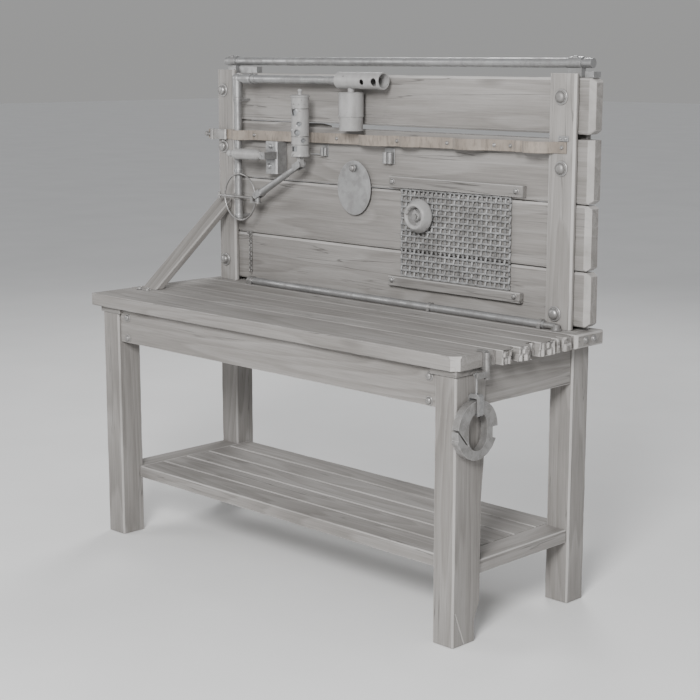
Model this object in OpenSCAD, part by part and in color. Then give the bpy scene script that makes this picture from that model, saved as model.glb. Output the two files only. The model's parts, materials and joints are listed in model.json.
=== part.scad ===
// Timber workbench with a plank tool wall, a swing lamp, a lantern arm and wall fittings.
// X runs along the bench to the right, Y from front to rear, Z up. Z = 0 is the floor.

/* [Bench] */
// Length over the legs
bench_l = 1716; // [1716:1:1716]
// Depth over the legs
bench_d = 650; // [650:1:650]
// Height of the worktop's upper face
bench_h = 900; // [880:1:920]
// Thickness of the worktop
top_t = 46; // [40:1:50]
// Depth of the worktop
top_d = 690; // [690:1:690]
// Size of the chamfer along worn timber edges
edge = 6; // [3:0.5:8]
// Height of the aprons
apron_h = 124; // [100:1:130]
// Thickness of the aprons
apron_t = 25; // [20:1:28]

/* [Shelf] */
// Height of the shelf's upper face
shelf_h = 250; // [200:1:300]
// Thickness of the shelf
shelf_t = 45; // [30:1:50]
// Number of slats in the shelf
shelf_slats = 5; // [5:1:5]

/* [Tool wall] */
// Height of the uprights' upper ends
wall_top = 1703; // [1700:1:1706]
// Thickness of the wall planks
plank_t = 52; // [40:1:52]
// Length of the wall planks
plank_l = 1784; // [1760:1:1790]
// Radius of the pipe along the top of the wall
pipe_r = 15.5; // [13:0.5:16]
// Height of the tool strap
strap_w = 36; // [30:1:38]
// Thickness of the tool strap
strap_t = 4; // [3:0.5:4]
// Pitch of the wire mesh
mesh_pitch = 20; // [20:1:20]

/* [Lamp] */
// Radius of the lamp's pole
pole_r = 14; // [12:0.5:14]
// Radius of the lamp's head
head_r = 29; // [27:0.5:29]
// Radius of the lamp's shade
shade_r = 45; // [38:0.5:45]
// Radial running clearance of the turning joints
fit = 0.05; // [0.02:0.01:0.08]

/* [Hidden] */
$fn = 64;

timber = [0.62, 0.60, 0.57];
timber_dark = [0.55, 0.53, 0.50];
steel = [0.60, 0.61, 0.62];
dark_steel = [0.42, 0.43, 0.44];
hide = [0.52, 0.47, 0.42];
enamel = [0.66, 0.66, 0.64];
glow = [0.92, 0.88, 0.76];

// Frame
leg_x = bench_l / 2;
leg_y = bench_d / 2;
fl_leg = [92, 99];
fr_leg = [85, 124];
rear_leg = [93, 88];
leg_edge = 5;
// The right front leg is deeper above this height, by this much
swell = 17;
swell_z = [430, 640];
cap_t = 20;
cap_out = 5;
top_under = bench_h - top_t;
apron_z = top_under - apron_h;
front_in = 10;
side_in = 8;
top_y = top_d / 2;
top_left = -898;
// Front edge, left end and right end of each worktop board, from front to rear
board_y = [-top_y, -164, -86, 16, 104, 194, top_y];
board_right = [874, 901, 903, 900, 900, 902];
board_edge = 2;
broken_in = 26;
joint = 1;
// Head of the bolts in the rear board's end, which are the bench's furthest point
end_bolt = 8;
end_x = board_right[5] + 1.02 * end_bolt;

// Shelf
shelf_x = leg_x - side_in;
shelf_front = -leg_y + 80;
shelf_back = 300;
shelf_end_w = 92;
slat_gap = 3;

// Wall
face_y = 260;
upright_t = 23;
upright_y = face_y - upright_t;
upright_l = [-855, -760];
upright_r = [738, 842];
back_y = face_y + plank_t;
batten_t = 26;
plank_z = [[1515, 1690], [1299, 1513], [1090, 1296], [911, 1087]];
plank_edge = 7;
plank_clip = [14, 13, 11, 13];
brace_x = [-860, -778];
brace_foot = -144;
brace_top = 1218;
brace_t = 28;
pipe_z = 1733;
pipe_y = 300;
pipe_wall = 3;
plug = 12;
top_pipe_x = -867;
top_pipe_l = 1726;
low_pipe_x = -662;
low_pipe_l = 1420;
low_pipe_r = 13;
low_pipe_y = 218.5;
low_pipe_z = bench_h + low_pipe_r;
bolt_dome = 18;
bolt_washer = 25;

// Strap
strap_y = upright_y - strap_t / 2 - 0.5;
strap_z = 1467;
strap_tilt = -0.5;
strap_ends = [-903, 818];
pole = [-700, 205];
// Centre, half width and depth of each place where the strap leaves the wall
loops = [[pole[0], 46, 49], [-3, 84, 36], [150, 44, 24], [420, 70, 34], [628, 20, 12], [702, 60, 38]];

// Mesh panel
mesh_x = [96, 591];
mesh_z = [1000, 1300];
mesh_y = 250;
wire = 7;
batten_z = [[1307.5, 1347], [964, 999.5]];
batten_x = [50, 640];
mesh_batten_t = 22;
reel_at = [196, 1218];
reel_y = [206, 243];
reel_r = 58;
axle_r = 7;

// Swinging oval plate and chain
peg_at = [-127, 1364];
peg_r = 5;
plate_at = [peg_at[0], 1294];
plate_half = [82, 96];
chain_at = [-682, 243, 1092];
chain_pin_r = 2;
link_r = 6;
link_wire = 1.5;
links = 18;

// Lamp
boom_z = 1670;
boom_r = 15;
boom_end = -140;
head_x = [-170, 56];
head_wall = 4;
shade_x = -100;
shade_z = [1497, 1630];
shade_wall = 2;
sleeve_z = 1600;
spigot_z = 1652;

// Lantern arm
arm_y = 172;
arm_foot = [-556, 1246];
arm_knee = [-324, 1370];
arm_len = norm(arm_knee - arm_foot);
arm_tilt = atan2(arm_knee[1] - arm_foot[1], arm_knee[0] - arm_foot[0]);
pin_r = 4;
lantern_r = 34;
lantern_z = [1397, 1618];
hoop_at = [-668, 1232];
hoop_y = 183;
hoop_r = 90;
hoop_wire = 3.5;

// Lever
lever_y = 160;
lever_pin = [-505, 1395];
lever_r = 20;
lever_x = [-664, -540];

// Hanger at the right end of the worktop
clip_y = -216;
clip_z = 824;
eye_x = 880;
eye_t = 4;
hook_at = [-260, 836];
hook_pin_r = 3;
ring_at = [hook_at[0], 672];
ring_r = 90;
ring_x = [865, 891];
hole_r = 41;
hole_top = 53;
hole_low = 62;
// The shackle hangs on the hook's round bar
hook_r = 5;
hook_z = ring_at[1] + hole_top - hook_r - 0.15;

// A bar of timber between two corners, with its four long edges chamfered
module chamfered(w, h, c) {
  polygon([[c, 0], [w - c, 0], [w, c], [w, h - c], [w - c, h], [c, h], [0, h - c], [0, c]]);
}

module bar_x(a, b, c = edge) {
  translate([a[0], a[1], a[2]])
    rotate([90, 0, 90])
      linear_extrude(b[0] - a[0])
        chamfered(b[1] - a[1], b[2] - a[2], c);
}

module bar_y(a, b, c = edge) {
  translate([a[0], b[1], a[2]])
    rotate([90, 0, 0])
      linear_extrude(b[1] - a[1])
        chamfered(b[0] - a[0], b[2] - a[2], c);
}

module bar_z(a, b, c = edge) {
  translate([a[0], a[1], a[2]])
    linear_extrude(b[2] - a[2])
      chamfered(b[0] - a[0], b[1] - a[1], c);
}

module block(a, b) {
  translate([a[0], a[1], a[2]])
    cube([b[0] - a[0], b[1] - a[1], b[2] - a[2]]);
}

// Round bars along each axis, starting at p
module rod_x(p, l, r) {
  translate(p)
    rotate([0, 90, 0])
      cylinder(h = l, r = r);
}

module rod_y(p, l, r) {
  translate(p)
    rotate([-90, 0, 0])
      cylinder(h = l, r = r);
}

module rod_z(p, l, r) {
  translate(p)
    cylinder(h = l, r = r);
}

// A domed head on a washer, standing on the plane y = p[1] and facing the front
module dome_bolt(p, head = bolt_dome, washer = bolt_washer) {
  thin = washer / 6;
  translate(p)
    rotate([90, 0, 0])
      rotate_extrude()
        polygon([
          [0, 0], [washer, 0], [washer, thin * 0.6], [washer - thin * 0.4, thin],
          [head, thin], [head, head * 0.5], [head * 0.82, head * 0.8],
          [head * 0.45, head * 0.98], [0, head * 1.02]
        ]);
}

// Legs
module leg(x0, y0, size, top) {
  color(timber)
    bar_z([x0, y0, 0], [x0 + size[0], y0 + size[1], top], leg_edge);
}

module leg_front_left() {
  leg(-leg_x, -leg_y, fl_leg, top_under - cap_t);
}

// The right front leg tapers at the rear and has lost a splinter from the rear of its foot
module leg_front_right() {
  chip = [24, 96];
  y1 = fr_leg[1] - leg_y;
  color(timber)
    difference() {
      leg(leg_x - fr_leg[0], -leg_y, [fr_leg[0], fr_leg[1] + swell], top_under - cap_t);
      translate([leg_x - fr_leg[0] - 1, 0, 0])
        rotate([90, 0, 90])
          linear_extrude(fr_leg[0] + 2)
            polygon([[y1 + swell + 1, swell_z[1] + 5], [y1, swell_z[0]], [y1, chip[1] + 26],
                     [y1 - chip[0], chip[1] - 22], [y1 - chip[0], -1], [y1 + swell + 1, -1]]);
    }
}

module leg_rear_left() {
  leg(-leg_x, leg_y - rear_leg[1], rear_leg, bench_h);
}

module leg_rear_right() {
  leg(leg_x - rear_leg[0], leg_y - rear_leg[1], rear_leg, bench_h);
}

// A pad between each front leg and the worktop, with a lip that laps over the apron
module leg_cap(size) {
  lip = 14;
  z0 = top_under - cap_t;
  union() {
    block([-leg_x - cap_out, -leg_y - cap_out, z0],
          [size[0] - leg_x, size[1] - leg_y + cap_out, top_under]);
    block([size[0] - leg_x, -leg_y - cap_out, z0],
          [size[0] - leg_x + lip, front_in - leg_y, top_under]);
  }
}

module leg_caps() {
  color(timber_dark) {
    leg_cap([fl_leg[0], fl_leg[1] - cap_out]);
    mirror([1, 0, 0])
      leg_cap([fr_leg[0], fr_leg[1] + swell - cap_out]);
  }
}

// Aprons
module apron_front() {
  color(timber)
    bar_x([fl_leg[0] - leg_x, front_in - leg_y, apron_z],
          [leg_x - fr_leg[0], front_in + apron_t - leg_y, top_under], 2);
}

module apron_rear() {
  color(timber)
    bar_x([rear_leg[0] - leg_x, leg_y - front_in - apron_t, apron_z],
          [leg_x - rear_leg[0], leg_y - front_in, top_under], 2);
}

module apron_left() {
  color(timber)
    bar_y([side_in - leg_x, fl_leg[1] - leg_y, apron_z],
          [side_in + apron_t - leg_x, leg_y - rear_leg[1], top_under], 2);
}

module apron_right() {
  color(timber)
    bar_y([leg_x - side_in - apron_t, fr_leg[1] + swell - leg_y, apron_z],
          [leg_x - side_in, leg_y - rear_leg[1], top_under], 2);
}

// Bolts of the front apron, of the brace's foot and of the rear board's end
module frame_bolts() {
  color(dark_steel) {
    for (x = [-722, 746], z = [apron_z + 18, apron_z + 93])
      dome_bolt([x, front_in - leg_y, z], 11, 14);
    for (x = [-842, -796])
      translate([x, brace_foot - 22, bench_h])
        bolt_up(10, 13);
    for (y = [242, 282])
      translate([board_right[5], y, bench_h - 20])
        rotate([0, 90, 0])
          bolt_up(end_bolt, end_bolt + 3);
  }
}

// A domed head standing upwards on its washer
module bolt_up(head, washer) {
  rotate([-90, 0, 0])
    dome_bolt([0, 0, 0], head, washer);
}

// Worktop boards run along the bench; the rear one is notched round the posts
module top_board(i) {
  color(timber)
    bar_x([top_left, board_y[i], top_under],
          [board_right[i], board_y[i + 1] - joint, bench_h], board_edge);
}

// The rear part of a board's right end has broken away from y0
module broken_end(i, y0) {
  difference() {
    top_board(i);
    block([board_right[i] - broken_in, y0, top_under - 1],
          [board_right[i] + 1, board_y[i + 1] + 1, bench_h + 1]);
  }
}

module top_board_1() {
  top_board(0);
}

module top_board_2() {
  broken_end(1, -116);
}

module top_board_3() {
  broken_end(2, -24);
}

module top_board_4() {
  broken_end(3, 90);
}

module top_board_5() {
  notch_y = [118, 137];
  difference() {
    broken_end(4, 178);
    block([board_right[4] - broken_in, notch_y[0], top_under - 1],
          [board_right[4] + 1, notch_y[1], bench_h + 1]);
  }
}

module top_board_6() {
  slack = 0.5;
  corner = 12;
  color(timber)
    difference() {
      top_board(5);
      for (x = [-leg_x, leg_x - rear_leg[0]])
        block([x - slack, leg_y - rear_leg[1] - slack, top_under - 1],
              [x + rear_leg[0] + slack, leg_y + slack, bench_h + 1]);
      translate([0, 0, top_under - 1])
        linear_extrude(top_t + 2)
          polygon([[board_right[5] + 1, top_y - corner - 1], [board_right[5] + 1, top_y + 1],
                   [board_right[5] - corner - 1, top_y + 1]]);
    }
}

// Shelf slats run along the bench between two end boards
module shelf_slat(i) {
  pitch = (shelf_back - shelf_front + slat_gap) / shelf_slats;
  y0 = shelf_front + i * pitch;
  color(timber)
    bar_x([shelf_end_w - shelf_x, y0, shelf_h - shelf_t],
          [shelf_x - shelf_end_w, y0 + pitch - slat_gap, shelf_h], 3);
}

module shelf_slat_1() {
  shelf_slat(0);
}

module shelf_slat_2() {
  shelf_slat(1);
}

module shelf_slat_3() {
  shelf_slat(2);
}

module shelf_slat_4() {
  shelf_slat(3);
}

module shelf_slat_5() {
  shelf_slat(4);
}

// Each end board is notched round the two legs that carry it
module shelf_ends() {
  slack = 0.5;
  z0 = shelf_h - shelf_t;
  color(timber)
    for (side = [-1, 1])
      difference() {
        bar_y([side > 0 ? shelf_x - shelf_end_w : -shelf_x, shelf_front, z0],
              [side > 0 ? shelf_x : shelf_end_w - shelf_x, shelf_back, shelf_h], 3);
        block([side > 0 ? leg_x - fr_leg[0] - slack : -leg_x - 1, -leg_y, z0 - 1],
              [side > 0 ? leg_x + 1 : fl_leg[0] - leg_x + slack,
               (side > 0 ? fr_leg[1] : fl_leg[1]) - leg_y + slack, shelf_h + 1]);
        block([side > 0 ? leg_x - rear_leg[0] - slack : -leg_x - 1,
               leg_y - rear_leg[1] - slack, z0 - 1],
              [side > 0 ? leg_x + 1 : rear_leg[0] - leg_x + slack, leg_y + 1, shelf_h + 1]);
      }
}

// Uprights stand on the worktop and clamp the planks against the rear battens
module upright(x) {
  color(timber)
    bar_z([x[0], upright_y, bench_h], [x[1], face_y, wall_top], edge);
}

module upright_left() {
  upright(upright_l);
}

module upright_right() {
  upright(upright_r);
}

module rear_battens() {
  color(timber_dark)
    for (x = [upright_l, upright_r])
      bar_z([x[0] + 8, back_y, bench_h], [x[1] - 8, back_y + batten_t, plank_z[0][1]], 4);
}

// Wall planks have chamfered edges and clipped corners at their ends
module wall_plank(i) {
  half = plank_l / 2 - [0, 0, 4, 0][i];
  z = plank_z[i];
  color(timber)
    intersection() {
      bar_x([-half, face_y, z[0]], [half, back_y, z[1]], plank_edge);
      translate([-half, back_y + 1, z[0]])
        rotate([90, 0, 0])
          linear_extrude(plank_t + 2)
            chamfered(2 * half, z[1] - z[0], plank_clip[i]);
    }
}

module wall_plank_1() {
  wall_plank(0);
}

// The upper edge of the second plank has split away, which leaves a gap below the first one
module wall_plank_2() {
  split_z = 1500;
  split_x = [-565, -298];
  difference() {
    wall_plank(1);
    translate([0, 0, split_z])
      linear_extrude(plank_z[1][1] - split_z + 1)
        polygon([[split_x[0], face_y - 1], [plank_l, face_y - 1],
                 [plank_l, back_y + 1], [split_x[1], back_y + 1]]);
  }
}

module wall_plank_3() {
  wall_plank(2);
}

module wall_plank_4() {
  wall_plank(3);
}

// Domed heads on the uprights and the bolts' nuts behind the rear battens
module wall_bolts() {
  nut = 12;
  nut_t = 7;
  color(dark_steel) {
    for (p = [[-820, 1625], [-820, 1413], [-818, 978], [787, 1630], [793, 1409], [781, 949]]) {
      dome_bolt([p[0], upright_y, p[1]]);
      translate([p[0], back_y + batten_t + nut_t, p[1]])
        rotate([90, 0, 0])
          cylinder(h = nut_t, r = nut, $fn = 6);
    }
  }
}

// A board that leans from the worktop's left end back to the left upright
module brace() {
  slope = atan2(brace_top - bench_h, upright_y - brace_foot);
  reach = 700;
  color(timber)
    intersection() {
      translate([0, brace_foot, bench_h])
        rotate([slope, 0, 0])
          bar_y([brace_x[0], -reach / 2, -brace_t], [brace_x[1], reach, 0], 4);
      block([brace_x[0] - 1, brace_foot - 100, bench_h],
            [brace_x[1] + 1, upright_y, wall_top]);
    }
}

// Pipe along the top of the wall
module top_pipe() {
  color(steel)
    difference() {
      rod_x([top_pipe_x, pipe_y, pipe_z], top_pipe_l, pipe_r);
      rod_x([top_pipe_x - 1, pipe_y, pipe_z], top_pipe_l + 2, pipe_r - pipe_wall);
    }
}

module pipe_clamp(x, w) {
  difference() {
    union() {
      rod_x([x, pipe_y, pipe_z], w, pipe_r + 4.5);
      block([x, pipe_y - 12, plank_z[0][1]], [x + w, pipe_y + 12, pipe_z]);
      rod_x([x + w / 3, pipe_y - 8, pipe_z + pipe_r + 2], w / 3, 5);
    }
    rod_x([x - 1, pipe_y, pipe_z], w + 2, pipe_r);
  }
}

// Clamps and saddle blocks of the top pipe, and the plugs in its ends
module pipe_saddles() {
  color(steel) {
    pipe_clamp(-848, 44);
    pipe_clamp(770, 52);
    block([-752, 262, plank_z[0][1]], [-655, 290, plank_z[0][1] + 24]);
    block([856, 262, plank_z[0][1]], [888, 300, plank_z[0][1] + 18]);
    for (x = [top_pipe_x, top_pipe_x + top_pipe_l - plug])
      rod_x([x, pipe_y, pipe_z], plug, pipe_r - pipe_wall);
  }
}

// Pipe along the foot of the wall
module low_pipe() {
  color(steel)
    difference() {
      rod_x([low_pipe_x, low_pipe_y, low_pipe_z], low_pipe_l, low_pipe_r);
      rod_x([low_pipe_x - 1, low_pipe_y, low_pipe_z], low_pipe_l + 2, low_pipe_r - pipe_wall);
    }
}

// A saddle that straddles the low pipe and stands on the worktop
module pipe_saddle(x, w) {
  out = low_pipe_r + 4;
  difference() {
    union() {
      rod_x([x, low_pipe_y, low_pipe_z], w, out);
      block([x, low_pipe_y - out, bench_h], [x + w, low_pipe_y + out, low_pipe_z]);
    }
    rod_x([x - 1, low_pipe_y, low_pipe_z], w + 2, low_pipe_r);
    block([x - 1, low_pipe_y - low_pipe_r, bench_h - 5],
          [x + w + 1, low_pipe_y + low_pipe_r, low_pipe_z]);
  }
}

// Saddles of the low pipe, the plug in its left end and the foot at its right end
module pipe_fittings() {
  foot_x = 803;
  inside = low_pipe_x + low_pipe_l - plug;
  bore = low_pipe_r - pipe_wall;
  color(dark_steel) {
    rod_x([low_pipe_x, low_pipe_y, low_pipe_z], plug, bore);
    pipe_saddle(-660, 26);
    pipe_saddle(262, 12);
    pipe_saddle(736, 14);
    union() {
      rod_x([inside, low_pipe_y, low_pipe_z], foot_x - inside, bore);
      rod_z([foot_x, low_pipe_y, bench_h], 19, 12);
      rod_z([foot_x, low_pipe_y, bench_h], 6, 17);
    }
  }
}

// How far the strap stands away from its flat run at x
function bump(x, l) = abs(x - l[0]) < l[1] ? l[2] * pow(cos(90 * (x - l[0]) / l[1]), 0.6) : 0;
function strap_out(x) = max([for (l = loops) bump(x, l)]);
function strap_xs() = [for (x = [strap_ends[0] : 6 : strap_ends[1]]) x];
function strap_z_at(x) = strap_z - x * sin(strap_tilt);

// The strap is stapled to the wall and bulges into loops between its studs
module tool_strap() {
  xs = strap_xs();
  front = [for (x = xs) [x, strap_y - strap_out(x) - strap_t / 2]];
  back = [for (i = [len(xs) - 1 : -1 : 0]) [xs[i], strap_y - strap_out(xs[i]) + strap_t / 2]];
  color(hide)
    translate([0, 0, strap_z])
      rotate([0, strap_tilt, 0])
        translate([0, 0, -strap_w / 2])
          linear_extrude(strap_w)
            polygon(concat(front, back));
}

// Studs between the loops and their spacers, and the knob and pad that hold the strap's left end
module strap_studs() {
  knob = 10;
  pad = [88, 12];
  knob_y = strap_y - strap_t / 2 - knob;
  strap_back = strap_y + strap_t / 2;
  color(dark_steel) {
    for (x = [-640, -420, -200, 94, 322, 524, 592, 796]) {
      dome_bolt([x, strap_y - strap_t / 2, strap_z_at(x)], 6, 7);
      rod_y([x, strap_back, strap_z_at(x)], (x < upright_r[0] ? face_y : upright_y) - strap_back, 5);
    }
    union() {
      rod_z([4 * knob - end_x, knob_y, strap_z_at(-end_x) - 20], 40, knob - 1);
      translate([knob - end_x, knob_y, strap_z_at(-end_x)])
        sphere(r = knob);
      rod_x([knob - end_x, knob_y, strap_z_at(-end_x)], 3 * knob, knob / 2);
      bar_z([3 * knob - end_x, strap_y - strap_t / 2 - pad[1], strap_z_at(-end_x) - 19],
            [3 * knob - end_x + pad[0], strap_y - strap_t / 2, strap_z_at(-end_x) + 19], 5);
    }
  }
}

// Clips below the strap: a back plate with two round fingers
module tool_clip(x, w, z0, h) {
  plate = 4;
  finger = w * 0.22;
  union() {
    bar_z([x, face_y - plate, z0], [x + w, face_y, z0 + h], 1);
    for (side = [0.25, 0.75])
      rod_z([x + side * w, face_y - plate - finger + 1, z0 + 2], h * 0.7, finger);
  }
}

module tool_clips() {
  color(steel) {
    union() {
      tool_clip(-300, 32, 1398, 42);
      rod_x([-352, face_y - 9, 1404], 60, 2);
    }
    tool_clip(14, 46, 1386, 54);
    union() {
      bar_z([780, upright_y - 4, 1494], [820, upright_y, 1510], 1);
      for (x = [790, 810])
        dome_bolt([x, upright_y - 4, 1502], 4, 5);
    }
  }
}

// Wire panel: wires along and up with square openings, and a hole for the reel's axle
module mesh_panel() {
  across = floor((mesh_x[1] - mesh_x[0]) / mesh_pitch);
  up = floor((mesh_z[1] - mesh_z[0]) / mesh_pitch);
  color(steel)
    linear_extrude_y(mesh_y + wire, wire)
      difference() {
        translate([mesh_x[0], mesh_z[0]])
          square([across * mesh_pitch + wire, up * mesh_pitch + wire]);
        for (i = [0 : across - 1], j = [0 : up - 1])
          translate([mesh_x[0] + i * mesh_pitch + wire, mesh_z[0] + j * mesh_pitch + wire])
            square(mesh_pitch - wire);
        translate(reel_at)
          circle(r = axle_r + 1.5);
      }
}

// Extrudes an outline drawn in X and Z towards the front, from y1 back to y1 - t
module linear_extrude_y(y1, t) {
  translate([0, y1, 0])
    rotate([90, 0, 0])
      linear_extrude(t)
        children();
}

module mesh_battens() {
  color(timber_dark) {
    bar_x([batten_x[0], face_y - mesh_batten_t, batten_z[0][0]],
          [batten_x[1], face_y, batten_z[0][1]], 3);
    bar_x([batten_x[0] - 2, face_y - mesh_batten_t, batten_z[1][0]],
          [batten_x[1] - 4, face_y, batten_z[1][1]], 3);
  }
}

module mesh_knobs() {
  y0 = face_y - mesh_batten_t;
  color(dark_steel)
    for (x = [batten_x[0] + 18, batten_x[1] - 26], z = [1328, 986])
      dome_bolt([x, y0, z], 9, 11);
}

// A reel that turns on an axle in front of the mesh
module reel() {
  depth = reel_y[1] - reel_y[0];
  color(enamel)
    translate([reel_at[0], reel_y[1], reel_at[1]])
      rotate([90, 0, 0])
        rotate_extrude()
          polygon([
            [axle_r + fit, 0], [reel_r - 6, 0], [reel_r, 5], [reel_r, 12], [reel_r - 5, 20],
            [reel_r - 10, depth - 6], [reel_r - 16, depth], [reel_r - 22, depth],
            [reel_r - 27, depth - 6], [reel_r - 27, 8], [axle_r + 10, 8],
            [axle_r + 7, 26], [axle_r + fit, 26]
          ]);
}

// Axle of the reel, peg of the oval plate and peg of the chain
module wall_pegs() {
  color(dark_steel) {
    union() {
      rod_y([reel_at[0], reel_y[0] + 6, reel_at[1]], face_y - reel_y[0] - 6, axle_r);
      rod_y([reel_at[0], reel_y[0] + 3, reel_at[1]], 6, axle_r + 3);
    }
    union() {
      rod_y([peg_at[0], 236, peg_at[1]], face_y - 236, peg_r);
      dome_bolt([peg_at[0], 240, peg_at[1]], 12, 14);
      rod_y([peg_at[0], 252, peg_at[1]], face_y - 252, 10);
    }
    union() {
      rod_y([chain_at[0], 232, chain_at[2]], face_y - 232, chain_pin_r);
      rod_y([chain_at[0], 230, chain_at[2]], 3, 5);
    }
  }
}

// Oval plate that hangs from its peg
module swing_plate() {
  t = 4;
  color(steel)
    difference() {
      translate([plate_at[0], 249.5, plate_at[1]])
        rotate([90, 0, 0])
          linear_extrude(t)
            oval(plate_half[0], plate_half[1]);
      rod_y([peg_at[0], 240, peg_at[1]], 20, peg_r + fit);
    }
}

// An oval of half width a and half height b
module oval(a, b) {
  polygon([for (i = [0 : 71]) [a * cos(5 * i), b * sin(5 * i)]]);
}

// Chain links hang below each other, turned a quarter turn each time
module chain() {
  pitch = 2 * (link_r - link_wire) - 0.5;
  drop = link_r - link_wire - chain_pin_r - 0.2;
  color(dark_steel)
    for (i = [0 : links - 1])
      translate([chain_at[0], chain_at[1], chain_at[2] - drop - i * pitch])
        rotate([90, 0, i % 2 == 0 ? 0 : 90])
          rotate_extrude($fn = 24)
            translate([link_r, 0])
              circle(r = link_wire, $fn = 16);
}

// Pole of the lamp with its collars; its spigot carries the boom
module lamp_pole() {
  color(steel)
    union() {
      rod_z([pole[0], pole[1], 1143], spigot_z - 1143, pole_r);
      for (z = [1150, 1320, sleeve_z - 16])
        rod_z([pole[0], pole[1], z], 14, pole_r + 3);
      for (z = [1154, 1588])
        block([pole[0] - 9, pole[1], z], [pole[0] + 9, face_y, z + 8]);
    }
}

// Boom: a sleeve turning on the pole, an elbow and a long tube
module lamp_boom() {
  color(steel)
    difference() {
      union() {
        rod_z([pole[0], pole[1], sleeve_z], boom_z - sleeve_z, pole_r + 5);
        translate([pole[0], pole[1], boom_z])
          sphere(r = pole_r + 6);
        rod_x([pole[0], pole[1], boom_z], boom_end - pole[0], boom_r);
        rod_x([pole[0] + 40, pole[1], boom_z], 44, boom_r + 4);
        rod_x([pole[0] + 96, pole[1], boom_z], 10, boom_r + 3);
      }
      rod_z([pole[0], pole[1], sleeve_z - 1], spigot_z - sleeve_z + 1.5, pole_r + fit);
      rod_x([pole[0] + 40, pole[1], boom_z], boom_end - pole[0] - 39, boom_r - pipe_wall);
    }
}

// Head: rolls on the boom's end, open at its right end, with two side ports
module lamp_head() {
  port = [[-24, 10], [33, 14]];
  color(enamel)
    difference() {
      union() {
        rod_x([head_x[0] + 12, pole[1], boom_z], head_x[1] - head_x[0] - 12, head_r);
        translate([head_x[0], pole[1], boom_z])
          rotate([0, 90, 0])
            cylinder(h = 12, r1 = head_r - 9, r2 = head_r);
        rod_z([shade_x, pole[1], shade_z[1]], boom_z - head_r - shade_z[1] + 6, 12);
      }
      rod_x([head_x[0] - 1, pole[1], boom_z], boom_end - head_x[0] + 1.5, boom_r + fit);
      rod_x([head_x[0] + 60, pole[1], boom_z], 300, head_r - head_wall);
      for (p = port)
        translate([p[0], pole[1], boom_z])
          rotate([100, 0, 0])
            cylinder(h = 60, r = p[1]);
    }
}

// Shade: a can open below, with a rolled band
module lamp_shade() {
  h = shade_z[1] - shade_z[0];
  band = h * 0.36;
  color(enamel)
    translate([shade_x, pole[1], shade_z[0]])
      rotate_extrude()
        polygon([
          [shade_r - 4, 0], [shade_r - 3, band], [shade_r, band + 1], [shade_r, band + 6],
          [shade_r - 1, band + 7], [shade_r - 1, h - 4], [shade_r - 5, h], [0, h],
          [0, h - shade_wall], [shade_r - 6, h - shade_wall], [shade_r - 3, h - 6],
          [shade_r - 5, band + 2], [shade_r - 6, 0]
        ]);
}

module lamp_bulb() {
  z0 = shade_z[1] - shade_wall;
  color(glow)
    translate([shade_x, pole[1], z0])
      mirror([0, 0, 1])
        rotate_extrude()
          polygon([
            [0, 0], [13, 0], [13, 26], [17, 40], [22, 52], [24, 62], [22, 72],
            [16, 80], [8, 85], [0, 86]
          ]);
}

// Hoop clamped to the pole; its crossbar carries the lantern arm
module hoop_bracket() {
  bar = 5;
  color(dark_steel)
    difference() {
      union() {
        translate([hoop_at[0], hoop_y, hoop_at[1]])
          rotate([90, 0, 0])
            rotate_extrude()
              translate([hoop_r - hoop_wire, 0])
                circle(r = hoop_wire, $fn = 16);
        rod_x([hoop_at[0] - hoop_r - 34, hoop_y, hoop_at[1]], 2 * hoop_r + 34, bar);
        rod_z([hoop_at[0] - hoop_r - 30, hoop_y, hoop_at[1] - 12], 24, bar);
        rod_z([pole[0], pole[1], hoop_at[1] - 11], 22, pole_r + 5);
        block([hoop_at[0] + hoop_r - 12, arm_y - 9, hoop_at[1] - 16],
              [hoop_at[0] + hoop_r + 2, hoop_y + 5, hoop_at[1] + 8]);
        block([hoop_at[0] + hoop_r, arm_y - 9, hoop_at[1] - 16],
              [arm_foot[0], arm_y + 9, hoop_at[1] - 10]);
        rod_z([arm_foot[0], arm_y, hoop_at[1] - 16], 6, 13);
        rod_z([arm_foot[0], arm_y, hoop_at[1] - 16], 18, pin_r);
      }
      rod_z([pole[0], pole[1], hoop_at[1] - 30], 60, pole_r);
    }
}

// Swivel: turns about an upright pin and carries the pitch pin of the arm
module arm_swivel() {
  z0 = hoop_at[1] - 9.7;
  color(steel)
    difference() {
      union() {
        rod_z([arm_foot[0], arm_y, z0], arm_foot[1] - z0 - 5, 9.5);
        rod_y([arm_foot[0], arm_y - 9.5, arm_foot[1]], 19, 8);
        rod_y([arm_foot[0], arm_y - 17, arm_foot[1]], 34, pin_r);
      }
      rod_z([arm_foot[0], arm_y, z0 - 1], 14.5, pin_r + fit);
    }
}

// Arm: fork at the swivel, tapered tube, fork at the lantern
module arm_link() {
  ear_r = 12;
  color(steel)
    translate([arm_foot[0], arm_y, arm_foot[1]])
      rotate([0, -arm_tilt, 0])
        difference() {
          union() {
            for (y = [-16, 10])
              rod_y([0, y, 0], 6, ear_r);
            for (y = [-16, 10])
              block([0, y, -ear_r], [26, y + 6, ear_r]);
            block([18, -16, -ear_r], [28, 16, ear_r]);
            translate([26, 0, 0])
              rotate([0, 90, 0])
                cylinder(h = arm_len - 52, r1 = 14, r2 = 10);
            block([arm_len - 28, -16, -ear_r], [arm_len - 18, 16, ear_r]);
            for (y = [-16, 10])
              block([arm_len - 26, y, -ear_r], [arm_len, y + 6, ear_r]);
            for (y = [-16, 10])
              rod_y([arm_len, y, 0], 6, ear_r);
          }
          rod_y([0, -20, 0], 40, pin_r + fit);
          rod_y([arm_len, -20, 0], 40, pin_r + fit);
        }
}

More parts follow.
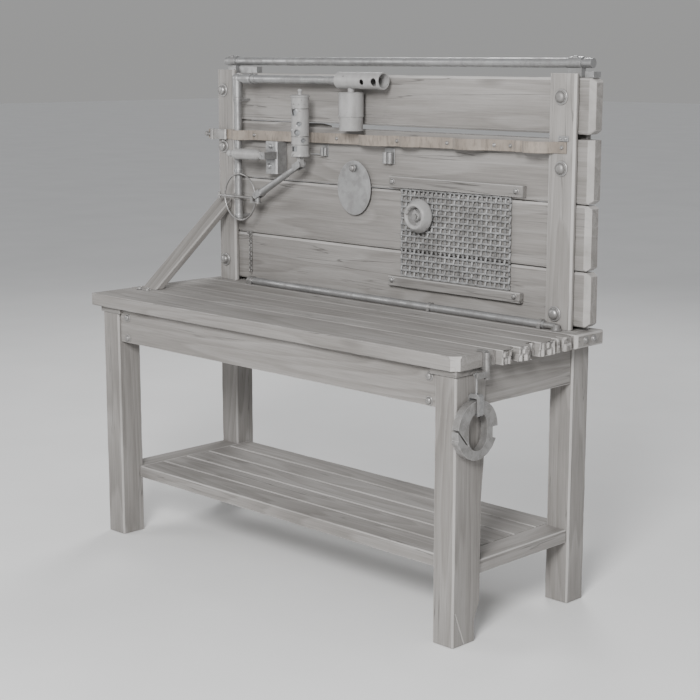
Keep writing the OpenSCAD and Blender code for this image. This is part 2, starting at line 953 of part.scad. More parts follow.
// Lantern: a lug on a cross pin, a flanged tube with ports, and a domed cap
module lantern() {
  h = lantern_z[1] - lantern_z[0];
  knee_z = arm_knee[1];
  wall = 3;
  color(enamel)
    difference() {
      union() {
        translate([arm_knee[0], arm_y, lantern_z[0]])
          rotate_extrude()
            polygon([
              [0, 0], [lantern_r - 6, 0], [lantern_r, 3], [lantern_r, 9], [lantern_r - 2, 12],
              [lantern_r - 2, h - 10], [lantern_r + 1, h - 9], [lantern_r + 1, h - 4],
              [lantern_r - 5, h], [8, h], [7, h + 8], [9, h + 13], [7, h + 19], [0, h + 21]
            ]);
        rod_y([arm_knee[0], arm_y - 9.5, knee_z], 19, 10);
        block([arm_knee[0] - 8, arm_y - 9.5, knee_z],
              [arm_knee[0] + 8, arm_y + 9.5, lantern_z[0] + 2]);
        rod_y([arm_knee[0], arm_y - 17, knee_z], 34, pin_r);
      }
      rod_z([arm_knee[0], arm_y, lantern_z[0] + 14], h - 28, lantern_r - 2 - wall);
      for (port = [[0, 160, 13], [38, 118, 8], [-36, 96, 8], [24, 88, 10], [-70, 140, 7], [64, 60, 7]])
        translate([arm_knee[0], arm_y, lantern_z[0] + port[1]])
          rotate([90, 0, port[0]])
            cylinder(h = 60, r = port[2]);
      translate([arm_knee[0], arm_y, lantern_z[0] + 30])
        block([-13, -60, -9], [13, 0, 9]);
    }
}

// Bracket: a block on the wall with a fork for the lever in front of it
module lever_bracket() {
  x = [-549, -486];
  z = [1325, 1444];
  front = 204;
  web = 10;
  ear = 6;
  reach = 13;
  color(steel)
    union() {
      bar_z([x[0], front, z[0]], [x[1], face_y, z[1]], 5);
      block([x[1] - web, lever_y - 16, lever_pin[1] - reach], [x[1], front + 1, lever_pin[1] + reach]);
      for (y = [lever_y - 16, lever_y + 10])
        block([lever_pin[0] - 9, y, lever_pin[1] - reach],
              [x[1] - web + 1, y + ear, lever_pin[1] + reach]);
      rod_y([lever_pin[0], lever_y - 18, lever_pin[1]], 36, pin_r);
      for (p = [[-516, 1427], [-526, 1353]])
        dome_bolt([p[0], front, p[1]], 9, 12);
    }
}

// Lever: a thick grip with a ball end and a tongue on the bracket's pin
module lever() {
  ball = 13;
  neck = 22;
  taper = 16;
  tongue = 9.7;
  color(enamel)
    difference() {
      union() {
        rod_x([lever_x[0], lever_y, lever_pin[1]], lever_x[1] - lever_x[0], lever_r);
        translate([lever_x[1], lever_y, lever_pin[1]])
          rotate([0, 90, 0])
            cylinder(h = taper, r1 = lever_r, r2 = tongue);
        translate([lever_x[0] - neck, lever_y, lever_pin[1]])
          rotate([0, 90, 0])
            cylinder(h = neck, r1 = ball - 3, r2 = lever_r - 2);
        translate([lever_x[0] - neck - ball + 3, lever_y, lever_pin[1]])
          sphere(r = ball);
        block([lever_x[1], lever_y - tongue, lever_pin[1] - 8],
              [lever_pin[0], lever_y + tongue, lever_pin[1] + 8]);
        rod_y([lever_pin[0], lever_y - tongue, lever_pin[1]], 2 * tongue, 8);
      }
      rod_y([lever_pin[0], lever_y - 20, lever_pin[1]], 40, pin_r + fit);
    }
}

// Clip on the worktop's right end, with a pin for the hook
module hanger_clip() {
  x0 = board_right[0];
  web = 6;
  half = 9;
  tab = [eye_x + eye_t + 4, eye_x + eye_t + 10];
  color(dark_steel)
    union() {
      block([x0 - 26, clip_y - half, bench_h], [x0 + web, clip_y + half, bench_h + 4]);
      block([x0, clip_y - half, clip_z], [x0 + web, clip_y + half, bench_h + 4]);
      block([x0 - 8, clip_y - half, top_under - 4], [x0 + web, clip_y + half, top_under]);
      rod_z([x0 + web + 3, clip_y, clip_z - 5], bench_h + 4 - clip_z, half);
      block([tab[0], hook_at[0] - half, hook_at[1] - half], [tab[1], clip_y, hook_at[1] + half]);
      rod_x([eye_x - 6, hook_at[0], hook_at[1]], tab[1] - eye_x + 5, hook_pin_r);
      rod_x([eye_x - 7, hook_at[0], hook_at[1]], 5, 6);
    }
}

// Hook: an eye on the clip's pin, a thin rod, and a stirrup that closes round the shackle
module hanger_hook() {
  neck = 3.5;
  neck_top = hook_at[1] - 5.5;
  half = 10;
  cheek = [3, 9];
  front = ring_x[1] + 2;
  rear = ring_x[0] - 2;
  top = ring_at[1] + ring_r + 6;
  crown = 13;
  low = hook_z - hook_r;
  color(steel)
    difference() {
      union() {
        rod_x([eye_x, hook_at[0], hook_at[1]], eye_t, 9);
        rod_z([eye_x + eye_t / 2, hook_at[0], top + 1], neck_top - top - 1, neck);
        translate([rear - cheek[0], hook_at[0] + half, low])
          rotate([90, 0, 0])
            linear_extrude(2 * half)
              difference() {
                chamfered(front - rear + cheek[0] + cheek[1], top + crown - low, 6);
                translate([cheek[0], -1])
                  square([front - rear, top - low + 1]);
              }
        rod_x([rear - 1, hook_at[0], hook_z], front - rear + 2, hook_r);
      }
      rod_x([eye_x - 1, hook_at[0], hook_at[1]], eye_t + 2, hook_pin_r + fit);
    }
}

// Shackle: a thick split ring with a tall hole, a notch in its rear edge and a slanted split
module shackle() {
  notch = [22, 36];
  notch_z = -18;
  split = 5;
  color(dark_steel)
    translate([ring_x[0], ring_at[0], ring_at[1]])
      rotate([90, 0, 90])
        linear_extrude(ring_x[1] - ring_x[0])
          difference() {
            union() {
              circle(r = ring_r);
              translate([6 - ring_r, -26])
                circle(r = 8);
            }
            translate([0, hole_top - hole_r])
              circle(r = hole_r);
            translate([0, hole_r - hole_low])
              circle(r = hole_r);
            translate([-hole_r, hole_r - hole_low])
              square([2 * hole_r, hole_top + hole_low - 2 * hole_r]);
            translate([ring_r - notch[0], notch_z - notch[1] / 2])
              square([notch[0] + 5, notch[1]]);
            translate([-ring_r - 4, 13])
              rotate(-49)
                square([72, split]);
          }
}

leg_front_left();
leg_front_right();
leg_rear_left();
leg_rear_right();
leg_caps();
apron_front();
apron_rear();
apron_left();
apron_right();
frame_bolts();
top_board_1();
top_board_2();
top_board_3();
top_board_4();
top_board_5();
top_board_6();
shelf_slat_1();
shelf_slat_2();
shelf_slat_3();
shelf_slat_4();
shelf_slat_5();
shelf_ends();
upright_left();
upright_right();
rear_battens();
wall_plank_1();
wall_plank_2();
wall_plank_3();
wall_plank_4();
wall_bolts();
brace();
top_pipe();
pipe_saddles();
low_pipe();
pipe_fittings();
tool_strap();
strap_studs();
tool_clips();
mesh_panel();
mesh_battens();
mesh_knobs();
reel();
wall_pegs();
swing_plate();
chain();
lamp_pole();
lamp_boom();
lamp_head();
lamp_shade();
lamp_bulb();
hoop_bracket();
arm_swivel();
arm_link();
lantern();
lever_bracket();
lever();
hanger_clip();
hanger_hook();
shackle();
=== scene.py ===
"""Looks of the workbench with its tool wall: worn timber, metalwork, a strap and woven wire.

Lengths are in metres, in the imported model's frame: X along the bench, Y towards the wall, Z up.
"""

import json
import math

import bmesh
import bpy
from mathutils import Matrix, Vector, noise


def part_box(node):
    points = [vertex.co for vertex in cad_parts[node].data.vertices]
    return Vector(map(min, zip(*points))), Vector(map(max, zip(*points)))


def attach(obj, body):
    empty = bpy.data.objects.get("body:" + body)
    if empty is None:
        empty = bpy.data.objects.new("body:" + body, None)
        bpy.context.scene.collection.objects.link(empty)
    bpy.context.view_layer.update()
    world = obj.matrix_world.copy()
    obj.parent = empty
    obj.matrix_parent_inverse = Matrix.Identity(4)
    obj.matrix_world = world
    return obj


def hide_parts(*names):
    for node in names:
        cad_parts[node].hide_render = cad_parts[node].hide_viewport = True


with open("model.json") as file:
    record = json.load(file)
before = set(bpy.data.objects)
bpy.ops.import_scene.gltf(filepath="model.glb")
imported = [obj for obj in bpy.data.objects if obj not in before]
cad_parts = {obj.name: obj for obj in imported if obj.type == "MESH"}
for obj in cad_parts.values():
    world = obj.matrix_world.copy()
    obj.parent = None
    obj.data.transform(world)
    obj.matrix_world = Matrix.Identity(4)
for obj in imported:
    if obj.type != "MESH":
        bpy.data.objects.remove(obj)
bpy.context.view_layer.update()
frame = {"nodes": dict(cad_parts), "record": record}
NODES = frame["nodes"]
RECORD = frame["record"]
SLOT_OF = {s["node"]: s["material_slot"] for s in RECORD["subparts"]}
BODY_OF = {n: b for b, nodes in RECORD["behaviour"]["bodies"].items() for n in nodes}
MM = 0.001
TAU = 2 * math.pi
WEAR_AND_HIGHLIGHT = "wear_and_highlight"    # the face attribute by which meshes tell their material where they are worn and where it paints a highlight


# ---------------------------------------------------------------- camera, light and floor

def look_at(obj, target):
    direction = Vector(target) - obj.location
    obj.rotation_mode = "QUATERNION"
    obj.rotation_quaternion = direction.to_track_quat("-Z", "Y")


def make_camera():
    """The photo's camera, which was solved from the bench's straight edges."""
    data = bpy.data.cameras.new("camera")
    data.lens = 80.4
    data.sensor_width = 36
    camera = bpy.data.objects.new("camera", data)
    camera.location = (3.784, -3.695, 1.762)
    look_at(camera, (0.005, 0.094, 0.747))
    bpy.context.scene.collection.objects.link(camera)
    bpy.context.scene.camera = camera


def area_light(name, place, target, size, power):
    """A round lamp; size is its diameter in metres and power is in watts."""
    data = bpy.data.lights.new(name, "AREA")
    data.shape = "DISK"
    data.size = size
    data.energy = power
    light = bpy.data.objects.new(name, data)
    light.location = place
    look_at(light, target)
    bpy.context.scene.collection.objects.link(light)


def make_lights():
    area_light("key_light", (2.95, -4.5, 3.5), (0, 0, 0.9), 1.8, 430)
    area_light("fill_light", (-4.2, -3.2, 2.6), (0, 0, 0.9), 2.4, 60)
    area_light("rim_light", (-2.5, 3.6, 4.2), (0, 0, 1.2), 2.0, 110)


def make_world():
    """A pale surround that is slightly darker below than above."""
    world = bpy.data.worlds.new("studio")
    world.use_nodes = True
    tree = world.node_tree
    background = tree.nodes["Background"]
    background.inputs["Strength"].default_value = 0.5
    height = tree.nodes.new("ShaderNodeSeparateXYZ")
    tone = tree.nodes.new("ShaderNodeValToRGB")
    tone.color_ramp.elements[0].color = (0.69, 0.69, 0.685, 1)
    tone.color_ramp.elements[1].color = (0.90, 0.91, 0.93, 1)
    tone.color_ramp.elements[1].position = 0.45
    place = tree.nodes.new("ShaderNodeTexCoord").outputs["Generated"]
    tree.links.new(place, height.inputs["Vector"])
    tree.links.new(height.outputs["Z"], tone.inputs["Fac"])
    tree.links.new(tone.outputs["Color"], background.inputs["Color"])
    bpy.context.scene.world = world


def make_floor():
    """A floor that reaches past everything the camera can see."""
    half = 45
    mesh = bpy.data.meshes.new("floor")
    corners = [(-half, -half, 0), (half, -half, 0), (half, half, 0), (-half, half, 0)]
    mesh.from_pydata(corners, [], [(0, 1, 2, 3)])
    floor = bpy.data.objects.new("floor", mesh)
    floor.location.z = -0.5 * MM
    bpy.context.scene.collection.objects.link(floor)
    floor.data.materials.append(floor_material())


# ---------------------------------------------------------------- material building blocks

class Shader:
    """A material's node tree, with short names for the nodes that the materials below use."""

    def __init__(self, name):
        self.material = bpy.data.materials.new(name)
        self.material.use_nodes = True
        self.tree = self.material.node_tree
        self.bsdf = self.tree.nodes["Principled BSDF"]
        self.place = self.node("ShaderNodeTexCoord").outputs["Object"]

    def node(self, kind, inputs=None, **settings):
        made = self.tree.nodes.new(kind)
        for key, value in settings.items():
            setattr(made, key, value)
        for key, value in (inputs or {}).items():
            self.feed(made.inputs[key], value)
        return made

    def feed(self, socket, value):
        if isinstance(value, bpy.types.NodeSocket):
            self.tree.links.new(value, socket)
        else:
            socket.default_value = value

    def shader(self, **values):
        """Sets the surface's own sockets, named with spaces for underscores."""
        for key, value in values.items():
            self.feed(self.bsdf.inputs[key.replace("_", " ")], value)

    def stretched(self, scale, vector=None):
        mapping = self.node("ShaderNodeMapping", {"Scale": scale, "Vector": vector or self.place})
        return mapping.outputs["Vector"]

    def noise(self, vector, scale, detail=4, roughness=0.55, distortion=0):
        made = self.node("ShaderNodeTexNoise", {"Vector": vector, "Scale": scale, "Detail": detail,
                                                "Roughness": roughness, "Distortion": distortion})
        return made.outputs["Fac"]

    def cells(self, vector, scale):
        made = self.node("ShaderNodeTexVoronoi", {"Vector": vector, "Scale": scale})
        return made.outputs["Distance"]

    def ramp(self, value, stops):
        """stops is a list of (position, colour), where a colour may be one number for a grey."""
        made = self.node("ShaderNodeValToRGB", {"Fac": value})
        ramp = made.color_ramp
        while len(ramp.elements) < len(stops):
            ramp.elements.new(1)
        for element, (position, colour) in zip(ramp.elements, stops):
            element.position = position
            grey = isinstance(colour, (int, float))
            element.color = (colour, colour, colour, 1) if grey else (*colour, 1)
        return made.outputs["Color"]

    def math(self, operation, a, b=0.0):
        return self.node("ShaderNodeMath", {0: a, 1: b}, operation=operation).outputs["Value"]

    def mix(self, factor, a, b):
        made = self.node("ShaderNodeMix", data_type="RGBA")
        self.feed(made.inputs[0], factor)
        self.feed(made.inputs[6], a if isinstance(a, bpy.types.NodeSocket) else (*a, 1))
        self.feed(made.inputs[7], b if isinstance(b, bpy.types.NodeSocket) else (*b, 1))
        return made.outputs[2]

    def bump(self, height, distance, strength):
        made = self.node("ShaderNodeBump", {"Height": height, "Distance": distance,
                                            "Strength": strength})
        return made.outputs["Normal"]

    def wear_and_highlight(self):
        """How far each face is worn and gets a painted highlight, as the meshes below store it."""
        return self.node("ShaderNodeAttribute", attribute_name=WEAR_AND_HIGHLIGHT).outputs["Fac"]

    def per_piece(self):
        """A vector that differs from piece to piece, so that no two boards share their grain."""
        random = self.node("ShaderNodeObjectInfo").outputs["Random"]
        far = self.math("MULTIPLY", random, 37.0)
        return self.node("ShaderNodeCombineXYZ", {"X": far, "Y": far, "Z": far}).outputs["Vector"]


def grey(value, warm=0.0):
    """A near-grey colour; warm above 0 leans to brown and below 0 to blue."""
    return (value * (1 + warm), value, value * (1 - warm))


# ---------------------------------------------------------------- materials

def floor_material():
    s = Shader("pale_floor")
    cloudy = s.noise(s.place, 1.5, detail=3)
    s.shader(Base_Color=s.ramp(cloudy, [(0.3, (0.79, 0.79, 0.785)), (0.7, (0.83, 0.83, 0.825))]),
             Roughness=0.85)
    return s.material


def timber(name, grain, light=0.31, dark=0.15):
    """Weathered timber, whose fibres run along the unit vector grain."""
    s = Shader(name)
    turn = Vector(grain).rotation_difference(Vector((1, 0, 0))).to_euler()
    place = s.node("ShaderNodeVectorMath", {0: s.place, 1: s.per_piece()}, operation="ADD")
    board = s.node("ShaderNodeMapping", {"Vector": place.outputs[0], "Rotation": turn}).outputs[0]
    growth = s.noise(s.stretched((0.5, 5.5, 5.5), vector=board), 1.0, detail=2, roughness=0.35,
                     distortion=0.25)
    rings = s.math("FRACT", s.math("MULTIPLY", growth, 15.0))
    rings = s.ramp(rings, [(0.0, 0.15), (0.55, 0.65), (0.86, 1.0), (1.0, 0.15)])
    broad = s.noise(s.stretched((1.1, 6, 6), vector=board), 1.0, detail=4, roughness=0.6)
    fibre = s.noise(s.stretched((5, 210, 210), vector=board), 1.0, detail=5, roughness=0.75)
    split = s.noise(s.stretched((0.9, 30, 30), vector=board), 1.0, detail=3, roughness=0.45)
    crack = s.ramp(s.math("ABSOLUTE", s.math("SUBTRACT", split, 0.5)), [(0.0, 1.0), (0.009, 0.0)])
    crack = s.math("MULTIPLY", crack, s.ramp(broad, [(0.45, 0.0), (0.6, 1.0)]))
    knot = s.cells(s.stretched((1.6, 5.2, 5.2), vector=board), 1.0)
    knot_mask = s.ramp(knot, [(0.05, 1.0), (0.13, 0.0)])
    tone = s.math("ADD", s.math("MULTIPLY", broad, 0.46), s.math("MULTIPLY", rings, 0.13))
    tone = s.math("ADD", tone, s.math("MULTIPLY", fibre, 0.38))
    middle = (dark + light) / 2
    colour = s.ramp(tone, [(0.33, grey(dark, 0.075)), (0.50, grey(middle, 0.055)),
                           (0.68, grey(light, 0.04))])
    colour = s.mix(s.math("MULTIPLY", knot_mask, 0.5), colour, grey(dark * 0.45, 0.12))
    colour = s.mix(s.math("MULTIPLY", crack, 0.75), colour, grey(dark * 0.25, 0.1))
    # Worn edges and painted highlight: the marked faces along the board's edges are lightened.
    rubbed = s.math("MULTIPLY", s.wear_and_highlight(), s.ramp(broad, [(0.3, 0.25), (0.6, 0.85)]))
    colour = s.mix(rubbed, colour, grey(min(light * 1.4, 0.62), 0.035))
    height = s.math("ADD", s.math("MULTIPLY", fibre, 0.55), s.math("MULTIPLY", rings, 0.2))
    height = s.math("SUBTRACT", height, s.math("MULTIPLY", crack, 1.6))
    rough = s.ramp(fibre, [(0.2, 0.92), (0.8, 0.74)])
    s.shader(Base_Color=colour, Roughness=rough, Normal=s.bump(height, 0.0016, 0.6))
    return s.material


def metal(name, light, dark, metallic=0.75, rough=(0.38, 0.6), warm=0.0, grime=0.35):
    """Worn metal: cloudy tone, fine scratches and darker grime."""
    s = Shader(name)
    cloudy = s.noise(s.place, 9, detail=6, roughness=0.65)
    scratch = s.noise(s.stretched((260, 260, 14)), 1.0, detail=2)
    dirt = s.ramp(s.noise(s.place, 26, detail=5, roughness=0.7), [(0.40, 1.0), (0.56, 0.0)])
    colour = s.ramp(cloudy, [(0.3, grey(dark, warm)), (0.7, grey(light, warm))])
    colour = s.mix(s.math("MULTIPLY", dirt, grime), colour, grey(dark * 0.5, warm + 0.06))
    # Rubbed edges and painted highlight: the bevel faces are lightened.
    colour = s.mix(s.math("MULTIPLY", s.wear_and_highlight(), 0.6), colour, grey(min(light * 1.3, 0.8), warm))
    rubbed = s.math("ADD", s.math("MULTIPLY", scratch, 0.5), s.math("MULTIPLY", dirt, 0.5))
    roughness = s.ramp(rubbed, [(0.2, rough[0]), (0.8, rough[1])])
    height = s.math("ADD", s.math("MULTIPLY", cloudy, 0.6), s.math("MULTIPLY", scratch, 0.25))
    s.shader(Base_Color=colour, Metallic=metallic, Roughness=roughness,
             Normal=s.bump(height, 0.0006, 0.5))
    return s.material


def enamel(name, light, dark):
    """Painted metal: a satin coat with stains, and chips that show the metal."""
    s = Shader(name)
    cloudy = s.noise(s.place, 14, detail=5, roughness=0.6)
    chips = s.ramp(s.noise(s.place, 55, detail=5, roughness=0.6, distortion=0.4),
                   [(0.655, 0.0), (0.675, 1.0)])
    stain = s.noise(s.stretched((40, 40, 9)), 1.0, detail=4)
    colour = s.ramp(cloudy, [(0.3, grey(dark, 0.02)), (0.7, grey(light, 0.015))])
    colour = s.mix(s.ramp(stain, [(0.5, 0.0), (0.75, 0.35)]), colour, grey(dark * 0.55, 0.08))
    colour = s.mix(chips, colour, grey(0.20, 0.05))
    height = s.math("SUBTRACT", s.math("MULTIPLY", cloudy, 0.3), s.math("MULTIPLY", chips, 0.8))
    rough = s.ramp(cloudy, [(0.2, 0.34), (0.8, 0.52)])
    s.shader(Base_Color=colour, Metallic=s.math("MULTIPLY", chips, 0.7), Roughness=rough,
             Coat_Weight=0.15, Coat_Roughness=0.3, Normal=s.bump(height, 0.0005, 0.7))
    return s.material


def leather(name):
    """Dull brown leather with pores and dark creases."""
    s = Shader(name)
    pores = s.cells(s.place, 700)
    crease = s.noise(s.stretched((90, 90, 25)), 1.0, detail=5, roughness=0.65)
    cloudy = s.noise(s.place, 12, detail=5)
    colour = s.ramp(cloudy, [(0.3, (0.20, 0.170, 0.142)), (0.7, (0.30, 0.258, 0.218))])
    colour = s.mix(s.ramp(crease, [(0.35, 0.5), (0.5, 0.0)]), colour, (0.10, 0.083, 0.068))
    # Worn rims and painted highlight: the strap's marked faces are lightened.
    colour = s.mix(s.math("MULTIPLY", s.wear_and_highlight(), 0.55), colour, (0.42, 0.37, 0.32))
    height = s.math("ADD", s.math("MULTIPLY", pores, 0.5), crease)
    s.shader(Base_Color=colour, Roughness=s.ramp(crease, [(0.3, 0.75), (0.7, 0.55)]),
             Sheen_Weight=0.08, Normal=s.bump(height, 0.0007, 0.6))
    return s.material


def frosted_glass(name):
    """The lamp's unlit bulb."""
    s = Shader(name)
    haze = s.noise(s.place, 60, detail=4)
    s.shader(Base_Color=s.ramp(haze, [(0.3, (0.80, 0.76, 0.66)), (0.7, (0.90, 0.87, 0.79))]),
             Roughness=0.35, Coat_Weight=0.4, Coat_Roughness=0.1,
             Normal=s.bump(haze, 0.0002, 0.4))
    return s.material


def lens_glass_with_painted_shade(name):
    """The lantern's glass core, seen through its ports and painted dark as the shade inside the
    lantern.
    """
    s = Shader(name)
    haze = s.noise(s.place, 90, detail=3)
    s.shader(Base_Color=s.ramp(haze, [(0.3, (0.20, 0.205, 0.21)), (0.7, (0.30, 0.305, 0.31))]),
             Roughness=s.ramp(haze, [(0.3, 0.12), (0.7, 0.28)]), Coat_Weight=0.5)
    return s.material


TIMBER_X = timber("timber_along_x", (1, 0, 0))
TIMBER_Y = timber("timber_along_y", (0, 1, 0))
TIMBER_Z = timber("timber_along_z", (0, 0, 1))
BATTEN_X = timber("dark_timber_along_x", (1, 0, 0), light=0.25, dark=0.12)
BATTEN_Z = timber("dark_timber_along_z", (0, 0, 1), light=0.25, dark=0.12)
STEEL = metal("dull_steel", 0.43, 0.32)
DARK_STEEL = metal("dark_steel", 0.39, 0.28, grime=0.4, warm=0.02)
WIRE = metal("wire_steel", 0.34, 0.25, metallic=0.45, rough=(0.62, 0.8), grime=0.5)
HIDE = leather("worn_leather")
ENAMEL = enamel("grey_enamel", 0.35, 0.27)
BULB_GLASS = frosted_glass("bulb_glass")
LENS_WITH_PAINTED_SHADE = lens_glass_with_painted_shade("lens_glass_with_painted_shade")
LOOK_OF_SLOT = {"steel": STEEL, "dark_steel": DARK_STEEL, "hide": HIDE, "enamel": ENAMEL,
                "glow": BULB_GLASS, "timber": TIMBER_X, "timber_dark": BATTEN_X}


# ---------------------------------------------------------------- pieces

def unit(axis):
    """The unit vector along axis 0, 1 or 2."""
    return Vector([float(i == axis) for i in range(3)])


def centre_of(node):
    low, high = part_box(node)
    return (low + high) / 2


def add_piece(name, bm, look, body, stands_for=(), smooth=40):
    """Links a mesh as a piece of the object, riding on a body.

    smooth is the angle above which edges stay sharp; 0 leaves every face flat.
    """
    mesh = bpy.data.meshes.new(name)
    bmesh.ops.recalc_face_normals(bm, faces=bm.faces)
    bm.to_mesh(mesh)
    bm.free()
    mesh.materials.append(look)
    piece = bpy.data.objects.new(name, mesh)
    bpy.context.scene.collection.objects.link(piece)
    if smooth:
        mesh.shade_smooth()
        mesh.set_sharp_from_angle(angle=math.radians(smooth))
        piece.modifiers.new("flat_faces", "WEIGHTED_NORMAL").keep_sharp = True
    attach(piece, body)
    if stands_for:
        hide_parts(*stands_for)


# ---------------------------------------------------------------- timber

GRAIN = {0: TIMBER_X, 1: TIMBER_Y, 2: TIMBER_Z}
DARK_GRAIN = {0: BATTEN_X, 2: BATTEN_Z}


def clean_copy(node):
    """The CAD node's shape as a bmesh of whole flat faces."""
    bm = bmesh.new()
    bm.from_mesh(NODES[node].data)
    bmesh.ops.remove_doubles(bm, verts=bm.verts, dist=1e-5)
    bmesh.ops.dissolve_limit(bm, angle_limit=math.radians(1), verts=bm.verts, edges=bm.edges)
    return bm


def sharp_edges(bm, degrees=20):
    limit = math.radians(degrees)
    return [e for e in bm.edges if e.is_manifold and e.calc_face_angle(0) > limit]


def cut_by_plane(bm, place, normal, faces=None, clear_outer=False):
    """Cuts some faces, or the whole mesh, where they cross a plane."""
    faces = list(bm.faces) if faces is None else faces
    edges = dict.fromkeys(e for f in faces for e in f.edges)
    corners = dict.fromkeys(v for f in faces for v in f.verts)
    bmesh.ops.bisect_plane(bm, geom=[*corners, *edges, *faces], dist=1e-6,
                           plane_co=place, plane_no=normal, clear_outer=clear_outer)


def slice_along(bm, axis, step, spare=0.0):
    """Cuts the mesh into stations along an axis, so that its long edges can be worn unevenly.

    spare is a length at the far end that is left whole.
    """
    places = [v.co[axis] for v in bm.verts]
    low, high = min(places), max(places) - spare
    count = max(1, round((high - low) / step))
    normal = unit(axis)
    for i in range(1, count + (spare > 0)):
        cut_by_plane(bm, normal * (low + (high - low) * i / count), normal)


def mark_wear_and_highlight(bm, turn=None, share=None):
    """Marks the faces that lie across the board's edges, which are worn and get a painted
    highlight.

    turn squares a slanted board up with the axes. share says from a face's place how much of the
    worn edge and painted highlight it gets; without it every such face gets all of it.
    """
    flat = 0.97
    layer = bm.faces.layers.float.new(WEAR_AND_HIGHLIGHT)
    for face in bm.faces:
        normal = face.normal if turn is None else turn @ face.normal
        face[layer] = 0.0 if max(abs(c) for c in normal) > flat else 1.0
        if share:
            face[layer] *= share(face.calc_center_median())


def weather(bm, seed, depth):
    """Sinks the surface unevenly: by about depth along its edges and little on its flats."""
    flat_depth = 0.4 * MM
    scale = 14
    nicks_from = 0.42
    deepest = 3.2 * depth
    bm.normal_update()
    shift = Vector((seed * 3.7, seed * 1.9, seed * 2.3))
    layer = bm.faces.layers.float[WEAR_AND_HIGHLIGHT]
    for vertex in bm.verts:
        edge = max(face[layer] for face in vertex.link_faces)
        slow = 0.5 + 0.5 * noise.noise(vertex.co * scale + shift)
        nick = max(0.0, noise.noise(vertex.co * scale * 3.1 - shift) - nicks_from) * 3
        inward = flat_depth * slow + edge * depth * (slow + nick)
        vertex.co -= vertex.normal * min(inward, deepest)


def splinter_end(bm, axis, reach, cell, seed):
    """Breaks up the faces at the board's far end into splinters of uneven length."""
    def end_faces():
        return [f for f in bm.faces if f.normal[axis] > 0.9]

    levels = sorted({round(f.calc_center_median()[axis], 4) for f in end_faces()})
    below, above = 3 * MM, 0.1 * MM
    across = [i for i in range(3) if i != axis]
    for i in across:
        normal = unit(i)
        places = [v.co[i] for v in bm.verts]
        low, high = min(places), max(places)
        for k in range(1, int((high - low) / cell) + 1):
            cut_by_plane(bm, normal * (low + k * cell), normal, end_faces())
    for vertex in bm.verts:
        place = vertex.co
        if not any(level - below < place[axis] < level + above for level in levels):
            continue
        key = Vector((place[across[0]], place[across[1]] * 0.6, seed * 0.37)) / cell
        sunk = 0.55 * noise.cell(key * 0.55) + 0.45 * (0.5 + 0.5 * noise.noise(key * 0.8))
        vertex.co[axis] -= reach * max(0.0, sunk)


def bevel_edges(bm, edges, width, segments=1):
    """Takes the edges off to a width and returns the new faces."""
    made = bmesh.ops.bevel(bm, geom=edges, offset=width, offset_type="OFFSET", segments=segments,
                           profile=0.6, affect="EDGES", clamp_overlap=True)
    return made["faces"]


def cut_corner(bm, node, direction, width):
    """Cuts off a corner of the node's box, towards a direction and by a width along its sides."""
    low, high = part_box(node)
    normal = Vector(direction).normalized()
    corner = Vector([(high if d > 0 else low)[i] for i, d in enumerate(direction)])
    inside = normal * (width / math.sqrt(sum(d != 0 for d in direction)))
    cut_by_plane(bm, corner - inside, normal, clear_outer=True)
    bmesh.ops.holes_fill(bm, edges=[e for e in bm.edges if e.is_boundary])


def board(node, axis, seed, depth=1.6 * MM, bevel=2 * MM, step=22 * MM, splinters=0.0,
          dark=False, rounded=(), corners=(), share=None, cut=None):
    """A worn board in place of a CAD node, with its grain along an axis.

    depth is how far its edges are worn, bevel is their width, step is the length between its
    stations, and splinters is how far its far end is broken back. rounded lists (pick, width) for
    the edges that get a wider bevel. corners lists (direction, width) for the corners that are cut
    off. share is as in mark_wear_and_highlight, and cut is a function that cuts the board further.
    """
    bm = clean_copy(node)
    for direction, width in corners:
        cut_corner(bm, node, direction, width)
    for pick, width in rounded:
        bevel_edges(bm, [e for e in sharp_edges(bm) if pick(e)], width, 2)
    bevel_edges(bm, sharp_edges(bm, 30), bevel)
    bm.normal_update()
    if splinters:
        splinter_end(bm, axis, splinters, 6 * MM, seed)
    slice_along(bm, axis, step, 50 * MM if splinters else 0.0)
    if cut:
        cut(bm)
    bm.normal_update()
    mark_wear_and_highlight(bm, share=share)
    weather(bm, seed, depth)
    look = (DARK_GRAIN if dark else GRAIN)[axis]
    add_piece(node + "_timber", bm, look, BODY_OF[node], [node], smooth=0)


def at_front(edge):
    """Whether an edge of the first worktop board lies in its front face."""
    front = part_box("top_board_1")[0].y
    return all(v.co.y < front + 3 * MM for v in edge.verts)


def at_plank_end(edge):
    """Whether an edge of a wall plank is one of the upright ones at its ends."""
    nearest = 855 * MM    # no plank ends nearer to the middle of the wall
    first, last = (v.co for v in edge.verts)
    rises = abs(first.z - last.z) > 10 * MM
    return rises and min(abs(first.x), abs(last.x)) > nearest


def near_right_end(place):
    """The worktop's seams are worn and get a painted highlight at its right end, and are tight
    everywhere else.
    """
    start, length, least = 0.55, 0.3, 0.1
    return min(1.0, max(least, (place.x - start) / length))


def crack_foot(bm):
    """A slanted crack in the right face of the right front leg's foot."""
    low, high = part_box("leg_front_right")
    start = Vector((high.x, low.y + 10 * MM, 108 * MM))
    run = Vector((0, 36 * MM, -92 * MM))
    across = run.normalized().cross(unit(0))
    deep = 7 * MM
    skin = 2 * MM    # only points this near to the face sink
    for offset in (-3 * MM, 0, 2 * MM):
        middles = [(f, f.calc_center_median()) for f in bm.faces]
        near = [f for f, middle in middles if middle.x > high.x - 12 * MM and middle.z < 130 * MM]
        cut_by_plane(bm, start + across * offset, across, near)
    for vertex in bm.verts:
        away = vertex.co - start
        along = away.dot(run) / run.length_squared
        in_line = abs(away.dot(across)) < 0.1 * MM and 0.02 < along < 1
        if in_line and vertex.co.x > high.x - skin:
            vertex.co.x -= deep


